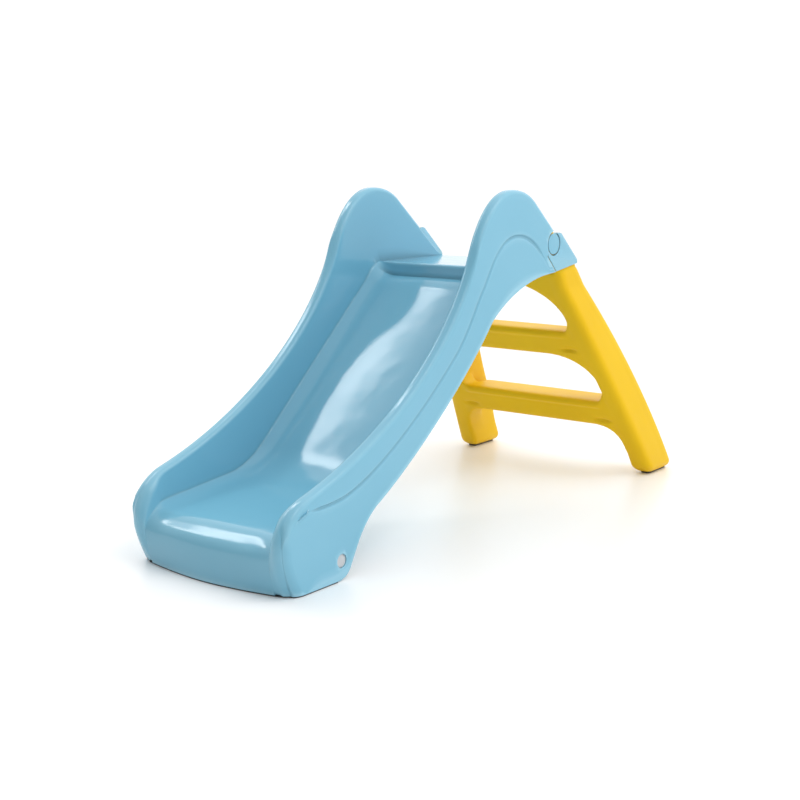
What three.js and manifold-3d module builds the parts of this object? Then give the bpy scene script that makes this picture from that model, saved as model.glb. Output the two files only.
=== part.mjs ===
// Folding toddler slide: a one-piece hollow chute on a swing-out two-step ladder.
// Millimetres, +Z up, the child slides toward -X. Origin: centre of the footprint, on the ground.
import * as THREE from 'three';
import { mergeVertices } from 'three/addons/utils/BufferGeometryUtils.js';
import Module from 'manifold-3d';

const wasm = await Module();
wasm.setup();

// ---- Driving dimensions ----
const bodyWidth = 376; // outside of the side skirts
const wallWidth = 26; // each hollow side wall, across
const shell = 3; // moulded wall of the chute
const noseX = -645; // front of the run-out
const footTipX = 645; // rear of the ladder feet
const rimHeight = 661; // top of the two humps
const deckHeight = 504; // sitting deck
const deckRearX = 288;
const deckFrontX = 62;
const deckStep = 28; // drop from the deck into the chute
const slopeTopX = 20; // the straight stretch of the chute
const slopeTopZ = 455;
const slopeRise = 0.907; // rise over run of the straight stretch
const slopeFootX = -300;
const runOutHeight = 98; // floor at the lip
const runOutStartX = -404;
const runOutStartZ = 116;
const coveWidth = 44; // hollow rounding between floor and wall
const coveHeight = 14;
const exitCoveHeight = 11;
const creaseDrop = 1.3; // the walls stop this much below the top of the cove
const lipStartX = -588;
const lipHeight = 52; // where the lip has rolled over into the front face
const shoulderX = -575; // where the rim turns down at the front
const shoulderZ = 165;
const frontLean = 7; // the front runs back this much towards the ground
const frontBow = 16; // bulge of the front, seen from above
const cornerRadius = 44;
const skirtToeX = -500; // rear end of the part that stands on the ground
const rimRound = 9;
const footFlange = 12; // inward ledge that carries the foot strip
const stripHeight = 2.2;
const rearFlangeDrop = 12; // turned-down rear edge of the deck

const pinX = 205; // folding axis of the ladder
const pinZ = 547;
const pinRadius = 8;
const headRadius = 23;
const headThickness = 4;
const headRecess = 4.5; // how far the head sits below the cover's face
const socketGap = 1.2;
const running = 0.5; // running clearance beside moving faces
const seat = 0.3; // clearance between pieces that touch

const coverSeam = 0.8; // width of the seam around the cover
const coverTongue = 16;

const postInset = 3.6; // the ladder's top sits this far inside the covers
const footHalf = 269; // outside of the ladder feet
const ladderWall = 3;
const postInnerTop = 150;
const ladderTopZ = 482;
const postFrontTop = { x: 229, z: 493 };
const postFrontFoot = { x: 531, z: 0 };
const treadHeights = [181, 349];
const beamBottoms = [118, 289];
const gapHalfWidths = [214, 194, 160]; // openings of the ladder, from the ground up
const archTop = 462;
const webDepth = 58; // how deep the webs beside the openings are
const padHeight = 3;
const earGap = 3; // ring between the inner plate and the ear
const earThickness = 10.4;
const earRadius = 27;

const rodX = -490; // tie rod across the foot of the chute
const rodZ = 37;
const rodRadius = 9;
const rodBore = 6.4;
const plugRadius = 11.5;
const plugHole = 12.4;

const curveSteps = 14;

// ---- Sizes that follow ----
const half = bodyWidth / 2;
const skirtInner = half - shell;
const wallInner = half - wallWidth;
const plateOuter = wallInner + shell; // side of the inner wall plate that faces the hollow
const earInner = plateOuter + earGap;
const earOuter = earInner + earThickness;
const postTopHalf = half - postInset;

// ---- Colours ----
const skyBlue = new THREE.Color(0x7dbed7);
const yellow = new THREE.Color(0xfacd28);
const paleGrey = new THREE.Color(0xc9cdd1);
const rubberGrey = new THREE.Color(0x2d3134);
const zincGrey = new THREE.Color(0xa9adb0);

// ---- Solids ----
function solid(geometry) {
  geometry.deleteAttribute('normal');
  geometry.deleteAttribute('uv');
  const merged = mergeVertices(geometry, 1e-4);
  return new wasm.Manifold(new wasm.Mesh({
    numProp: 3,
    vertProperties: new Float32Array(merged.attributes.position.array),
    triVerts: new Uint32Array(merged.index.array),
  }));
}

function geometryOf(manifold) {
  const mesh = manifold.getMesh();
  const geometry = new THREE.BufferGeometry();
  geometry.setAttribute('position', new THREE.BufferAttribute(new Float32Array(mesh.vertProperties), 3));
  geometry.setIndex(new THREE.BufferAttribute(new Uint32Array(mesh.triVerts), 1));
  geometry.computeVertexNormals();
  return geometry;
}

// A side outline (x, z), extruded from y0 to y1; bevel = [across, inward] rounds its two ends.
function acrossSlide(shape, y0, y1, bevel = null) {
  const [across, inward] = bevel ?? [0, 0];
  const geometry = new THREE.ExtrudeGeometry(shape, {
    depth: y1 - y0 - 2 * across, steps: 1, curveSegments: curveSteps, bevelEnabled: Boolean(bevel),
    bevelThickness: across, bevelSize: inward, bevelOffset: -inward, bevelSegments: 4,
  });
  geometry.rotateX(Math.PI / 2);
  geometry.translate(0, y1 - across, 0);
  return solid(geometry);
}

// A front outline (y, z), extruded from x0 to x1.
function alongSlide(shape, x0, x1) {
  const geometry = new THREE.ExtrudeGeometry(shape, {
    depth: x1 - x0, steps: 1, curveSegments: curveSteps, bevelEnabled: false,
  });
  const turn = new THREE.Matrix4().makeBasis(
    new THREE.Vector3(0, 1, 0), new THREE.Vector3(0, 0, 1), new THREE.Vector3(1, 0, 0),
  );
  geometry.applyMatrix4(turn);
  geometry.translate(x0, 0, 0);
  return solid(geometry);
}

// A plan outline (x, y), extruded from z0 to z1.
function upright(shape, z0, z1) {
  const geometry = new THREE.ExtrudeGeometry(shape, {
    depth: z1 - z0, steps: 1, curveSegments: curveSteps, bevelEnabled: false,
  });
  geometry.translate(0, 0, z0);
  return solid(geometry);
}

function box(x0, x1, y0, y1, z0, z1) {
  const geometry = new THREE.BoxGeometry(x1 - x0, y1 - y0, z1 - z0);
  geometry.translate((x0 + x1) / 2, (y0 + y1) / 2, (z0 + z1) / 2);
  return solid(geometry);
}

// A turned piece about a line along Y through (x, z); profile holds [radius, y] pairs.
function turned(profile, x, z, segments = 40) {
  const points = profile.map(([radius, y]) => new THREE.Vector2(radius, y));
  const geometry = new THREE.LatheGeometry(points, segments);
  geometry.translate(x, 0, z);
  return solid(geometry);
}

function cylinderAlongY(x, z, radius, y0, y1) {
  return turned([[0, y0], [radius, y0], [radius, y1], [0, y1]], x, z);
}

function outline(points) {
  return new THREE.Shape(points.map(([u, v]) => new THREE.Vector2(u, v)));
}

function both(make) {
  return make(1).add(make(-1));
}

function mirrored(manifold, side) {
  return side > 0 ? manifold : manifold.mirror([0, 1, 0]);
}

// The same curve moved by `distance` to its left-hand side.
function offsetCurve(points, distance) {
  return points.map((point, i) => {
    const before = points[Math.max(i - 1, 0)];
    const after = points[Math.min(i + 1, points.length - 1)];
    const along = new THREE.Vector2().subVectors(after, before).normalize();
    return new THREE.Vector2(point.x - along.y * distance, point.y + along.x * distance);
  });
}

// ---- Outlines of the chute, in the side view (x, z) ----
const humpX = 50;
const humpRear = new THREE.Vector2(134, 635);
const humpFall = new THREE.Vector2(0.78, -0.626).normalize(); // straight fall behind the hump
const rimLowX = -80; // where the rim is steepest
const rimLowZ = 543;

// Rim of the walls, from the ground at the front over the hump to the rear edge of the deck.
function rimPath() {
  const path = new THREE.Path();
  path.moveTo(noseX + frontLean, 0);
  path.bezierCurveTo(noseX + frontLean / 3, 30, noseX, 52, noseX, 78);
  path.bezierCurveTo(noseX, 122, noseX + 30, shoulderZ - 14, shoulderX, shoulderZ);
  path.bezierCurveTo(shoulderX + 193, shoulderZ + 52, rimLowX - 75, rimLowZ - 185, rimLowX, rimLowZ);
  path.bezierCurveTo(rimLowX + 19, rimLowZ + 52, humpX - 65, rimHeight, humpX, rimHeight);
  path.bezierCurveTo(humpX + 32, rimHeight, humpRear.x - 25, humpRear.y + 20, humpRear.x, humpRear.y);
  const toDeck = (humpRear.y - deckHeight - 4) / -humpFall.y;
  path.lineTo(humpRear.x + humpFall.x * toDeck, deckHeight + 4);
  return path;
}
const rim = rimPath().getPoints(curveSteps);
const rimEnd = rim[rim.length - 1];

// Lower edge of the skirts, from the rear of the deck down to the toe.
function skirtPath() {
  const path = new THREE.Path();
  path.moveTo(deckRearX, deckHeight - rearFlangeDrop);
  path.lineTo(223, 489);
  path.lineTo(183, 486);
  path.bezierCurveTo(95, 480, 15, 441, -26, 406);
  path.bezierCurveTo(-115, 300, -290, 168, -394, 114);
  path.bezierCurveTo(-420, 97, -440, 70, -450, 50);
  path.lineTo(skirtToeX + 33, 19);
  path.bezierCurveTo(skirtToeX + 27, 8, skirtToeX + 15, 0, skirtToeX, 0);
  return path;
}
const skirtEdge = skirtPath().getPoints(curveSteps);

// Floor of the chute along its middle, from the foot of the deck's step to over the lip.
function floorPath() {
  const path = new THREE.Path();
  const slopeFootZ = slopeTopZ - slopeRise * (slopeTopX - slopeFootX);
  path.moveTo(deckFrontX, deckHeight - deckStep);
  path.bezierCurveTo(deckFrontX - 14, deckHeight - deckStep, slopeTopX + 16, slopeTopZ + 15,
    slopeTopX, slopeTopZ);
  path.lineTo(slopeFootX, slopeFootZ);
  path.bezierCurveTo(slopeFootX - 40, slopeFootZ - 40 * slopeRise,
    runOutStartX + 50, runOutStartZ + 5, runOutStartX, runOutStartZ);
  path.lineTo(lipStartX, runOutHeight);
  path.bezierCurveTo(lipStartX - 32, runOutHeight - 3, noseX + 2, lipHeight + 26, noseX - 2, lipHeight);
  return path;
}
const floorLine = floorPath().getPoints(curveSteps);

// Foot of the walls: level with the deck, then a cove's height above the floor.
function creaseLine() {
  const raised = offsetCurve(floorLine, creaseDrop - coveHeight).filter((point) => point.x < slopeTopX);
  const eased = raised.map((point) => {
    const share = THREE.MathUtils.clamp((point.x - lipStartX) / (slopeFootX - 20 - lipStartX), 0, 1);
    const drop = (coveHeight - exitCoveHeight) * (1 - share) ** 1.5;
    return new THREE.Vector2(point.x, point.y - drop);
  });
  return [new THREE.Vector2(deckRearX + 40, deckHeight), new THREE.Vector2(deckFrontX + 6, deckHeight),
    new THREE.Vector2(deckFrontX - 16, deckHeight - 7), ...eased];
}

const skyZ = rimHeight + 60;
const farX = noseX - 60;

function aboveLine(line) {
  const first = line[0];
  return new THREE.Shape([...line, new THREE.Vector2(farX, line[line.length - 1].y),
    new THREE.Vector2(farX, skyZ), new THREE.Vector2(first.x, skyZ)]);
}

function sideShape() {
  return new THREE.Shape([...rim, new THREE.Vector2(deckRearX, deckHeight),
    ...skirtEdge]);
}

// Plan outline of the chute: bowed front with rounded corners, moved inward by `inset`,
// and its front moved back by `back`.
function planShape(inset, back = 0) {
  const half = bodyWidth / 2 - inset;
  const front = noseX + inset + back;
  const corner = front + frontBow;
  const shape = new THREE.Shape();
  shape.moveTo(deckRearX + 60, -half);
  shape.lineTo(deckRearX + 60, half);
  shape.lineTo(corner + cornerRadius, half);
  shape.bezierCurveTo(corner + 12, half, corner + 2, half - 22, corner - 4, half - cornerRadius);
  shape.bezierCurveTo(front + 3, 90, front, 40, front, 0);
  shape.bezierCurveTo(front, -40, front + 3, -90, corner - 4, -(half - cornerRadius));
  shape.bezierCurveTo(corner + 2, -(half - 22), corner + 12, -half, corner + cornerRadius, -half);
  return shape;
}

// ---- Hinge cover outline (x, z): hugs the pin's head, stands a little behind the hump line ----
const coverFoot = new THREE.Vector2(217, 489);
const coverKnee = new THREE.Vector2(181, 524);
const coverHeel = new THREE.Vector2(302, 501);
const coverCrest = new THREE.Vector2(pinX + headRadius - 9, pinZ + headRadius - 2);
const coverShoulder = new THREE.Vector2(pinX + headRadius + 7, pinZ + headRadius - 3);

function coverShape(grow, socket) {
  const shape = new THREE.Shape();
  const entry = 3.86; // angle where the seam meets the socket, radians
  const exit = 1.0;
  shape.moveTo(coverFoot.x - grow, coverFoot.y - 4 * grow);
  shape.lineTo(coverKnee.x - grow, coverKnee.y + grow);
  shape.lineTo(pinX + socket * Math.cos(entry), pinZ + socket * Math.sin(entry));
  shape.absarc(pinX, pinZ, socket, entry, 2 * Math.PI + exit, false);
  shape.lineTo(coverCrest.x, coverCrest.y + 2 * grow);
  shape.lineTo(coverShoulder.x + grow, coverShoulder.y + 2 * grow);
  shape.lineTo(coverHeel.x - 5 + 2 * grow, coverHeel.y + 10 + grow);
  shape.quadraticCurveTo(coverHeel.x + 3 + 2 * grow, coverHeel.y + 2, coverHeel.x + 2 * grow,
    coverHeel.y - 4 * grow);
  return shape;
}

// ---- Chute ----
function chuteBlock() {
  const roundedTop = new THREE.Shape([...rim, new THREE.Vector2(rimEnd.x + 30, deckHeight - 60),
    new THREE.Vector2(rimEnd.x + 30, -60), new THREE.Vector2(noseX + frontLean, -60)]);
  const rounded = acrossSlide(roundedTop, -half, half, [rimRound, rimRound]);
  const slabTop = offsetCurve(floorLine, -coveHeight).reverse();
  const slab = new THREE.Shape([...offsetCurve(floorLine, shell + 2), ...slabTop]);
  const block = acrossSlide(sideShape(), -half, half).intersect(rounded)
    .add(acrossSlide(slab, -wallInner - 1, wallInner + 1));
  return block.intersect(upright(planShape(0), stripHeight + seat, skyZ));
}

function lane() {
  const upper = acrossSlide(aboveLine(creaseLine()), -wallInner, wallInner);
  const trough = acrossSlide(aboveLine(floorLine), -wallInner, wallInner, [coveWidth, coveHeight]);
  return upper.add(trough);
}

// Hollow under the floor, open below.
function underHollow() {
  const ceiling = offsetCurve(floorLine, shell).filter((point) => point.x > noseX + shell + 2);
  const frontFace = offsetCurve(rim, -shell).filter((point) => point.x < 0 && point.y < lipHeight - 3);
  const rearInner = deckRearX - shell;
  const frontInner = frontFace[0].x;
  const hollow = new THREE.Shape([new THREE.Vector2(rearInner, deckHeight - shell),
    new THREE.Vector2(deckFrontX + shell, deckHeight - shell), ...ceiling,
    ...frontFace.reverse(), new THREE.Vector2(frontInner, -50),
    new THREE.Vector2(rearInner, -50)]);
  return acrossSlide(hollow, -skirtInner, skirtInner)
    .intersect(upright(planShape(shell), -60, skyZ));
}

// Hollow inside each side wall, up to a wall's thickness below the rim.
function wallHollow(side) {
  const inner = offsetCurve(rim, -shell).filter((point) => point.y > 6 && point.x > noseX);
  const end = inner[inner.length - 1];
  const shape = new THREE.Shape([...inner, new THREE.Vector2(end.x - 1, deckHeight - 60),
    new THREE.Vector2(end.x - 1, -50), new THREE.Vector2(inner[0].x, -50)]);
  return mirrored(acrossSlide(shape, plateOuter, skirtInner), side)
    .intersect(upright(planShape(shell), -60, skyZ));
}

function footOpening() {
  return upright(planShape(footFlange, frontLean), -20, stripHeight + seat + shell);
}

function coverRelief(side) {
  const seam = acrossSlide(coverShape(coverSeam, headRadius), plateOuter, half + 5);
  const socket = cylinderAlongY(pinX, pinZ, headRadius + socketGap + 2 * coverSeam, plateOuter, half + 5);
  const earSweep = cylinderAlongY(pinX, pinZ, earRadius + 2, plateOuter, half - shell - 1);
  const underCover = box(coverFoot.x, deckRearX + 20, plateOuter, half + 5, deckHeight - 60, coverFoot.y + 8);
  return mirrored(seam.add(socket).add(earSweep).add(underCover), side);
}

function slideBody() {
  const flange = upright(planShape(0), stripHeight + seat, stripHeight + seat + shell)
    .intersect(acrossSlide(sideShape(), -half, half))
    .subtract(footOpening());
  const moulding = chuteBlock().subtract(lane()).subtract(underHollow()).subtract(both(wallHollow));
  const body = moulding.add(flange).subtract(both(coverRelief)).subtract(both((side) => mirrored(
    cylinderAlongY(pinX, pinZ, pinRadius + 0.35, wallInner + 1, half + 5), side)));
  return body.subtract(both((side) => mirrored(
    cylinderAlongY(rodX, rodZ, plugHole, skirtInner - 4, half + 5), side)));
}

// ---- Hinge covers ----
function hingeCover(side) {
  const face = acrossSlide(coverShape(0, headRadius + socketGap + coverSeam), skirtInner, half);
  const backStrip = new THREE.Shape([
    coverShoulder, new THREE.Vector2(coverHeel.x - 5, coverHeel.y + 10),
    new THREE.Vector2(coverHeel.x, coverHeel.y), new THREE.Vector2(coverHeel.x - 3.5, coverHeel.y),
    new THREE.Vector2(coverHeel.x - 8, coverHeel.y + 8.5),
    new THREE.Vector2(coverShoulder.x - 2.4, coverShoulder.y - 3),
  ]);
  const back = acrossSlide(backStrip, plateOuter + seat, skirtInner + 1);
  const tongueFoot = coverFoot.y + 8; // above the sweep of the ladder's top corner
  const tongueShape = outline([[coverFoot.x - coverTongue, tongueFoot], [coverKnee.x - 6, coverKnee.y - 2],
    [coverKnee.x + 6, coverKnee.y - 6], [coverFoot.x + 8, tongueFoot + 1]]);
  const tongueOuter = skirtInner - seat;
  const tongue = acrossSlide(tongueShape, tongueOuter - shell, tongueOuter);
  const joggle = acrossSlide(outline([[coverFoot.x - 7 + coverSeam, tongueFoot],
    [coverKnee.x + 4, coverKnee.y - 4], [coverKnee.x + 9, coverKnee.y - 5],
    [coverFoot.x + 3, tongueFoot]]), tongueOuter - shell, skirtInner + 1);
  return mirrored(face.add(back).add(tongue).add(joggle), side);
}

// ---- Pins, rings and plugs ----
function hingePin(side) {
  const outer = half - headRecess;
  const inner = outer - headThickness;
  const end = wallInner + 1 + seat;
  const profile = [[0, end], [pinRadius - 1, end], [pinRadius, end + 1], [pinRadius, inner],
    [headRadius, inner], [headRadius, outer - 1], [headRadius - 1.5, outer], [0, outer + 0.8]];
  return mirrored(turned(profile, pinX, pinZ, 56), side);
}

function ring(inner, outer, y0, y1, x, z) {
  return cylinderAlongY(x, z, outer, y0, y1).subtract(cylinderAlongY(x, z, inner, y0 - 1, y1 + 1));
}

function pinRing(side) {
  const between = ring(pinRadius + seat, pinRadius + 4, plateOuter + seat, earInner - seat, pinX, pinZ);
  return mirrored(between, side);
}

function rodPlug(side) {
  const outer = half - 0.8;
  const flangeOuter = skirtInner - seat;
  const profile = [[0, flangeOuter - 16], [rodBore - seat, flangeOuter - 16],
    [rodBore - seat, flangeOuter - 3], [plugHole + 4, flangeOuter - 3], [plugHole + 4, flangeOuter],
    [plugRadius, flangeOuter], [plugRadius, outer - 1], [plugRadius - 1, outer], [0, outer]];
  return mirrored(turned(profile, rodX, rodZ), side);
}

function tieRod() {
  const end = skirtInner - 3 - 2 * seat;
  return ring(rodBore, rodRadius, -end, end, rodX, rodZ);
}

// ---- Ladder ----
const leanX = (postFrontFoot.x - postFrontTop.x) / (postFrontTop.z - postFrontFoot.z);

function frontX(z) {
  return postFrontTop.x + (postFrontTop.z - z) * leanX;
}

function rearPath(inset) {
  const path = new THREE.Path();
  const footX = footTipX - inset;
  path.moveTo(312 - inset, 497);
  path.bezierCurveTo(450 - inset, 340, footX - 88, 180, footX, padHeight + seat);
  return path.getPoints(curveSteps);
}

// Side outline of the posts, moved inward by `inset`; it runs on below the ground.
function postSide(inset) {
  const rear = rearPath(inset);
  const foot = rear[rear.length - 1];
  const top = 497 - inset;
  return new THREE.Shape([new THREE.Vector2(frontX(top) + inset, top), ...rear,
    new THREE.Vector2(foot.x + 10, foot.y - 20), new THREE.Vector2(frontX(-20) + inset * 1.2, -20)]);
}

// Half of the ladder's front view (y, z): one post between its outer edge and the openings.
function postFront(side, inset) {
  const inner = inset;
  const thin = inset * 0.6; // the hollow of the posts runs into that of the webs
  const shape = new THREE.Shape();
  const put = (y) => side * y;
  const below = inset > 0 ? -20 : padHeight + seat; // the hollow opens at the foot
  shape.moveTo(put(footHalf - inner), below);
  shape.bezierCurveTo(put(250 - inner), 150, put(203 - inner), 370, put(postTopHalf - inner), 450);
  shape.lineTo(put(postTopHalf - inner), 497 - inner);
  shape.lineTo(put(postInnerTop + inner), 497 - inner);
  shape.lineTo(put(gapHalfWidths[2] - 20 + thin), ladderTopZ - 40);
  shape.lineTo(put(gapHalfWidths[2] + thin), 362);
  shape.lineTo(put(gapHalfWidths[2] + 2 + thin), 330);
  shape.lineTo(put(gapHalfWidths[1] - 22 + thin), 262);
  shape.lineTo(put(gapHalfWidths[1] + thin), 206);
  shape.lineTo(put(gapHalfWidths[1] + 4 + thin), 160);
  shape.lineTo(put(gapHalfWidths[0] - 12 + thin), 104);
  shape.lineTo(put(gapHalfWidths[0] + thin), 60);
  shape.lineTo(put(gapHalfWidths[0] + 2 + thin), below);
  return shape;
}

function post(side, inset) {
  const shape = postFront(side, inset);
  return alongSlide(shape, 150, 700).intersect(acrossSlide(postSide(inset), -footHalf - 5, footHalf + 5));
}

// Cross-section of a step (x, z): crowned tread, face in the posts' front plane, and its hollow.
function stepSection(level, inset) {
  const tread = treadHeights[level] - inset;
  const bottom = beamBottoms[level] + inset;
  const rear = rearPath(0).reduce((best, point) => (
    Math.abs(point.y - tread) < Math.abs(best.y - tread) ? point : best)).x - 16 - inset;
  const faceTop = tread - 10;
  const front = (z) => frontX(z) + 4 + inset;
  const shape = new THREE.Shape();
  shape.moveTo(front(bottom), bottom);
  shape.lineTo(rear + 12, bottom);
  shape.lineTo(rear + 8, tread - 22);
  shape.quadraticCurveTo(rear, tread, rear - 22, tread);
  shape.lineTo(front(faceTop) + 30, tread);
  shape.quadraticCurveTo(front(faceTop) + 6, tread, front(faceTop), faceTop);
  return shape;
}

function step(level, inset) {
  const reach = gapHalfWidths[level + 1] + 14 + inset;
  return acrossSlide(stepSection(level, inset), -reach, reach);
}

// Front outlines of the three openings (y, z), from the ground up, each wider by `grow`.
function openingShapes(grow) {
  const [low, middle, high] = gapHalfWidths.map((width) => width + grow);
  const [sill, upperSill] = treadHeights.map((height) => height - grow);
  const [lowTop, middleTop] = beamBottoms.map((height) => height + grow);
  const top = archTop + grow;
  const ground = new THREE.Shape();
  ground.moveTo(low + 2, -10);
  ground.lineTo(low, 58);
  ground.bezierCurveTo(low - 2, 100, low - 24, lowTop, low - 64, lowTop);
  ground.lineTo(64 - low, lowTop);
  ground.bezierCurveTo(24 - low, lowTop, 2 - low, 100, -low, 58);
  ground.lineTo(-low - 2, -10);
  const between = new THREE.Shape();
  between.moveTo(22 - middle, sill);
  between.lineTo(middle - 22, sill);
  between.quadraticCurveTo(middle, sill, middle, sill + 24);
  between.bezierCurveTo(middle - 2, 262, middle - 54, middleTop, middle - 109, middleTop);
  between.lineTo(109 - middle, middleTop);
  between.bezierCurveTo(54 - middle, middleTop, 2 - middle, 262, -middle, sill + 24);
  between.quadraticCurveTo(-middle, sill, 22 - middle, sill);
  const arch = new THREE.Shape();
  arch.moveTo(16 - high, upperSill);
  arch.lineTo(high - 16, upperSill);
  arch.quadraticCurveTo(high, upperSill, high, upperSill + 18);
  arch.bezierCurveTo(high - 10, 425, 85, top, 0, top);
  arch.bezierCurveTo(-85, top, 10 - high, 425, -high, upperSill + 18);
  arch.quadraticCurveTo(-high, upperSill, 16 - high, upperSill);
  return [ground, between, arch];
}

// Webs that fill the corners between posts, steps and arch, in the front of the posts.
function webs(inset) {
  const depth = webDepth - inset;
  const top = ladderTopZ - inset;
  const side = outline([[frontX(top) + 4 + inset, top], [frontX(top) + depth, top],
    [frontX(60) + depth, 60], [frontX(60) + 4 + inset, 60]]);
  const reach = postTopHalf - 8;
  const low = gapHalfWidths[0] + 4;
  const wedge = outline([[-low, 62], [low, 62], [reach - 8, 330], [reach - 20, top], [20 - reach, top],
    [8 - reach, 330]]);
  let sheet = acrossSlide(side, -footHalf, footHalf).intersect(alongSlide(wedge, 150, 700));
  for (const shape of openingShapes(inset)) {
    sheet = sheet.subtract(alongSlide(shape, 150, 700));
  }
  for (const level of treadHeights.keys()) {
    const reachIn = inset > 0 ? footHalf : gapHalfWidths[level + 1] - 26;
    const cornerTop = treadHeights[level] + (inset > 0 ? 30 : 1); // lower corners stay solid
    sheet = sheet.subtract(box(150, 700, -reachIn, reachIn, beamBottoms[level] + 0.5, cornerTop));
  }
  return sheet;
}

function ear(side) {
  const shape = new THREE.Shape();
  shape.absarc(pinX, pinZ, earRadius, 0.9, 0.9 + Math.PI * 1.18, false);
  shape.lineTo(frontX(470) + 6, 470);
  shape.lineTo(290, 470);
  shape.lineTo(296, 494);
  return mirrored(acrossSlide(shape, earInner, earOuter), side);
}

function ladder() {
  let outside = both((side) => post(side, 0)).add(webs(0));
  let inside = both((side) => post(side, ladderWall)).add(webs(ladderWall));
  for (const level of treadHeights.keys()) {
    outside = outside.add(step(level, 0));
    inside = inside.add(step(level, ladderWall));
  }
  const reach = plateOuter + running;
  outside = outside.subtract(box(150, 400, -reach, reach, ladderTopZ, 700));
  inside = inside.subtract(box(150, 400, -reach - 4, reach + 4, ladderTopZ - ladderWall, 700));
  const frame = outside.subtract(inside).add(both(ear));
  return frame.subtract(both((side) => mirrored(
    cylinderAlongY(pinX, pinZ, pinRadius + seat, earInner - 2, earOuter + 2), side)));
}

function footPad(side) {
  const shape = outline([[frontX(0) + 3, 216], [footTipX - 15, 216], [footTipX - 7, 224],
    [footTipX - 7, footHalf - 11], [footTipX - 15, footHalf - 3], [frontX(0) + 3, footHalf - 3]]
    .map(([x, y]) => [x, side * y]));
  return upright(shape, 0, padHeight);
}

function footStrip() {
  const toe = acrossSlide(outline([[noseX - 5, -1], [skirtToeX + 2, -1], [skirtToeX + 2, 5], [noseX - 5, 5]]),
    -half, half);
  return upright(planShape(1.5, frontLean), 0, stripHeight)
    .subtract(upright(planShape(footFlange - 1, frontLean), -1, 5))
    .intersect(toe);
}

// ---- Assembly ----
const slide = new THREE.Group();

function add(name, manifold, color, roughness, metalness = 0) {
  const material = new THREE.MeshStandardMaterial({ color, roughness, metalness });
  const mesh = new THREE.Mesh(geometryOf(manifold), material);
  mesh.name = name;
  slide.add(mesh);
}

add('slide_body', slideBody(), skyBlue, 0.25);
add('ladder', ladder(), yellow, 0.4);
add('foot_strip', footStrip(), rubberGrey, 0.8);
add('foot_tie_rod', tieRod(), zincGrey, 0.35, 0.9);
for (const [name, side] of [['left', 1], ['right', -1]]) {
  add(`hinge_cover_${name}`, hingeCover(side), skyBlue, 0.25);
  add(`hinge_pin_${name}`, hingePin(side), skyBlue, 0.25);
  add(`pin_ring_${name}`, pinRing(side), zincGrey, 0.35, 0.9);
  add(`rod_plug_${name}`, rodPlug(side), paleGrey, 0.45);
  add(`ladder_foot_${name}`, footPad(side), rubberGrey, 0.8);
}

export default slide;
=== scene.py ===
import math
import bmesh
import bpy
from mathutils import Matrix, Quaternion, Vector


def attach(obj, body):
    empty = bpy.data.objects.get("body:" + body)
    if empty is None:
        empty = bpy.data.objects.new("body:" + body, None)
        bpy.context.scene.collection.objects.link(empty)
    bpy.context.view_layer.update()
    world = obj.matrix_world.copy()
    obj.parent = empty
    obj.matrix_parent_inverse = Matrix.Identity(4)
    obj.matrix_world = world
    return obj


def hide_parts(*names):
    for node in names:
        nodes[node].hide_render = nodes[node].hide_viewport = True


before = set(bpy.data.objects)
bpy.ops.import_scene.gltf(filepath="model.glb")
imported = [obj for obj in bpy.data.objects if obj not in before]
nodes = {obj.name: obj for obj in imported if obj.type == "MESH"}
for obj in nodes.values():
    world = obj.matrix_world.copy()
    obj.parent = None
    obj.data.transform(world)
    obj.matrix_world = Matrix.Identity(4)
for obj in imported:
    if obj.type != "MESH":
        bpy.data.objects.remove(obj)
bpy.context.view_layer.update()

mm = 0.001
scene = bpy.context.scene
print("frame loaded")


# curves in the side view are lists of Vector((x, z)), in metres
def point(x, z):
    return Vector((x * mm, z * mm))


def drawn(start, *parts):
    # a part with one point is a straight line, a part with three is a cubic
    line = [point(*start)]
    for part in parts:
        a = line[-1]
        ends = [point(*p) for p in part]
        if len(ends) == 1:
            line += [a.lerp(ends[0], i / 12) for i in range(1, 13)]
        else:
            b, c, d = ends
            for i in range(1, 49):
                t = i / 48
                u = 1 - t
                line.append(a * u ** 3 + b * 3 * u * u * t + c * 3 * u * t * t + d * t ** 3)
    return line


def lengths(line):
    total = [0.0]
    for a, b in zip(line, line[1:]):
        total.append(total[-1] + (b - a).length)
    return total


def atLength(line, run, where):
    for i in range(1, len(run)):
        if run[i] >= where:
            gap = run[i] - run[i - 1]
            return line[i - 1].lerp(line[i], (where - run[i - 1]) / gap if gap else 0)
    return line[-1].copy()


def spread(line, stops, counts):
    # the same number of stations between the same stops on every curve
    run = lengths(line)
    marks = []
    for stop in stops:
        near = min(range(len(line)), key=lambda i: (line[i] - point(*stop)).length)
        marks.append(run[near])
    marks[0], marks[-1] = 0.0, run[-1]
    out = [line[0].copy()]
    for a, b, count in zip(marks, marks[1:], counts):
        out += [atLength(line, run, a + (b - a) * i / count) for i in range(1, count + 1)]
    return out


def normals(line):
    # to the left of the direction of travel
    out = []
    for i in range(len(line)):
        along = line[min(i + 1, len(line) - 1)] - line[max(i - 1, 0)]
        along.normalize()
        out.append(Vector((-along.y, along.x)))
    return out


def ramp(a, b, x):
    t = min(max((x - a) / (b - a), 0.0), 1.0)
    return t * t * (3 - 2 * t)


def meshObject(name, bm):
    mesh = bpy.data.meshes.new(name)
    bm.to_mesh(mesh)
    bm.free()
    made = bpy.data.objects.new(name, mesh)
    scene.collection.objects.link(made)
    return made


def applied(obj):
    # the modifiers become part of the mesh
    graph = bpy.context.evaluated_depsgraph_get()
    mesh = bpy.data.meshes.new_from_object(obj.evaluated_get(graph))
    old = obj.data
    obj.modifiers.clear()
    obj.data = mesh
    mesh.name = obj.name
    bpy.data.meshes.remove(old)
    return obj


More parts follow.
